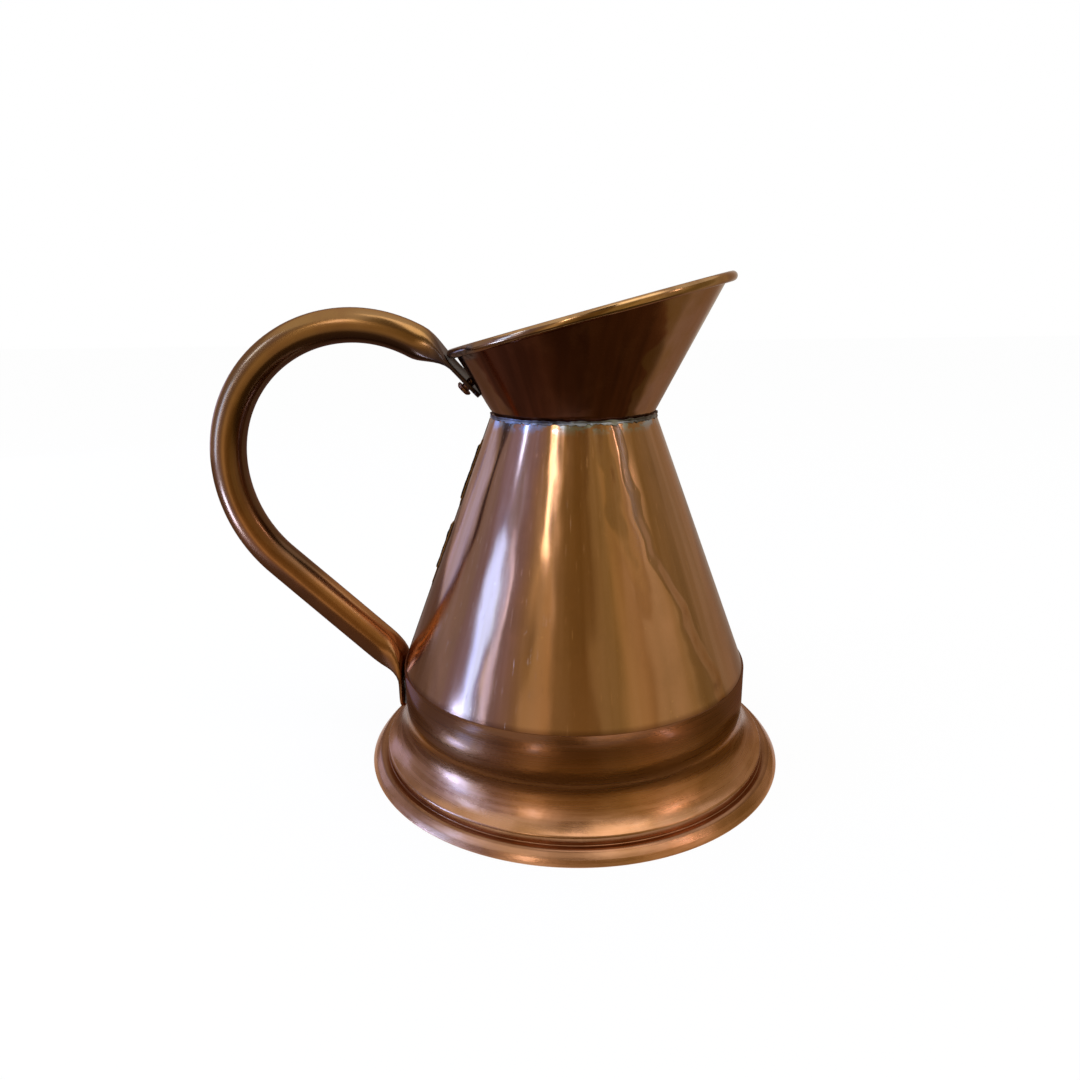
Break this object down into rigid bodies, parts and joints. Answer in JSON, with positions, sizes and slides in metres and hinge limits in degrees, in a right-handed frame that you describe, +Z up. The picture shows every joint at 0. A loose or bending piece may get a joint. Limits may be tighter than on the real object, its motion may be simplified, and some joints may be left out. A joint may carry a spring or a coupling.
{
  "type": "copper pitcher",
  "caption": "Open pitcher with a cone-shaped body, a flared mouth cut on a slant, a moulded foot and one hollow loop handle riveted at the mouth and soldered at the foot's collar.",
  "frame": {"origin": "centre of the foot's resting ring, on the surface that the pitcher stands on", "axes": "+Z up; +X towards the high front lip that it pours from, with the handle along -X; +Y to the left of the handle when looking from the handle to the lip"},
  "size_m": [0.2709, 0.2008, 0.2259],
  "materials": {
    "foot_copper": "satin copper sheet, handled to a soft sheen, brown in the hollows",
    "bottom_copper": "dull brown copper, never polished",
    "body_copper": "polished copper with a thin brown patina",
    "mouth_copper": "polished copper under a dark brown patina",
    "handle_copper": "brown copper, smooth from the hand",
    "rivet_copper": "dark hammered copper",
    "braze": "dull yellow braze",
    "wire": "plain drawn iron wire, hidden in the rim",
    "solder": "grey soft solder, dull and uneven"
  },
  "bodies": {
    "root": {"foot_skirt": "foot_copper", "bottom_disc": "bottom_copper", "bottom_solder": "solder", "shoulder_solder": "solder", "body_cone": "body_copper", "body_seam_braze": "braze", "mouth_funnel": "mouth_copper", "rim_wire": "wire", "mouth_seam_braze": "braze", "neck_solder": "solder", "handle_tube": "handle_copper", "handle_rivet": "rivet_copper", "handle_strap_solder": "solder"}
  },
  "joints": []
}
